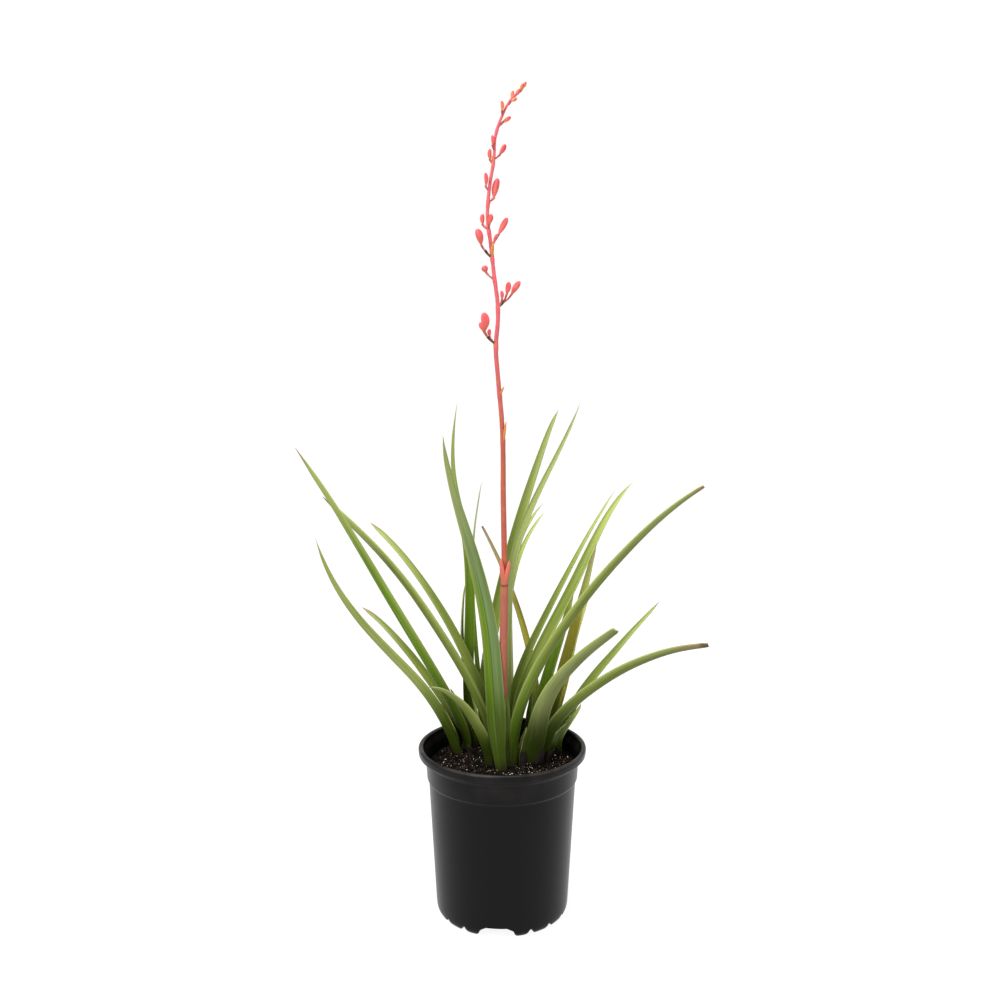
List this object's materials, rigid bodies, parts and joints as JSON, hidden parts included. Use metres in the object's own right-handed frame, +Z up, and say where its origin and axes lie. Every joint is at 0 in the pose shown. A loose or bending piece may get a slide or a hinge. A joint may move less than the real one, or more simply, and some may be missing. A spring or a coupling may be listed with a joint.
{
  "type": "potted red yucca",
  "caption": "Nursery pot full of potting mix, with rosettes of narrow arching channelled leaves and one tall stalk of closed flower buds.",
  "frame": {"origin": "centre of the bounding box at ground level, within 3 mm of the pot's axis", "axes": "+Z up along the flower stalk, the longest extent; the front faces -Y and +X is to the right in the front view"},
  "size_m": [0.3849, 0.2181, 0.795],
  "materials": {
    "pot_plastic": "satin black",
    "potting_soil": "rough",
    "leaf_olive": "waxy satin",
    "leaf_green": "waxy satin",
    "leaf_glaucous": "waxy satin",
    "leaf_dark": "waxy satin",
    "leaf_tawny": "waxy satin",
    "flower_spike": "satin"
  },
  "bodies": {
    "root": {"pot": "pot_plastic", "soil": "potting_soil", "leaf_left_1": "leaf_green", "leaf_left_2": "leaf_green", "leaf_left_3": "leaf_dark", "leaf_left_4": "leaf_green", "leaf_left_5": "leaf_olive", "leaf_left_6": "leaf_olive", "leaf_left_7": "leaf_olive", "leaf_left_8": "leaf_dark", "leaf_middle_1": "leaf_glaucous", "leaf_middle_2": "leaf_olive", "leaf_middle_3": "leaf_olive", "leaf_middle_4": "leaf_olive", "leaf_middle_5": "leaf_olive", "leaf_middle_6": "leaf_olive", "leaf_middle_7": "leaf_olive", "leaf_middle_8": "leaf_green", "leaf_middle_9": "leaf_green", "leaf_right_1": "leaf_glaucous", "leaf_right_2": "leaf_glaucous", "leaf_right_3": "leaf_olive", "leaf_right_4": "leaf_tawny", "leaf_right_5": "leaf_tawny", "leaf_right_6": "leaf_green", "leaf_right_7": "leaf_tawny", "leaf_right_8": "leaf_glaucous", "leaf_right_9": "leaf_glaucous", "flower_spike": "flower_spike"}
  },
  "joints": []
}
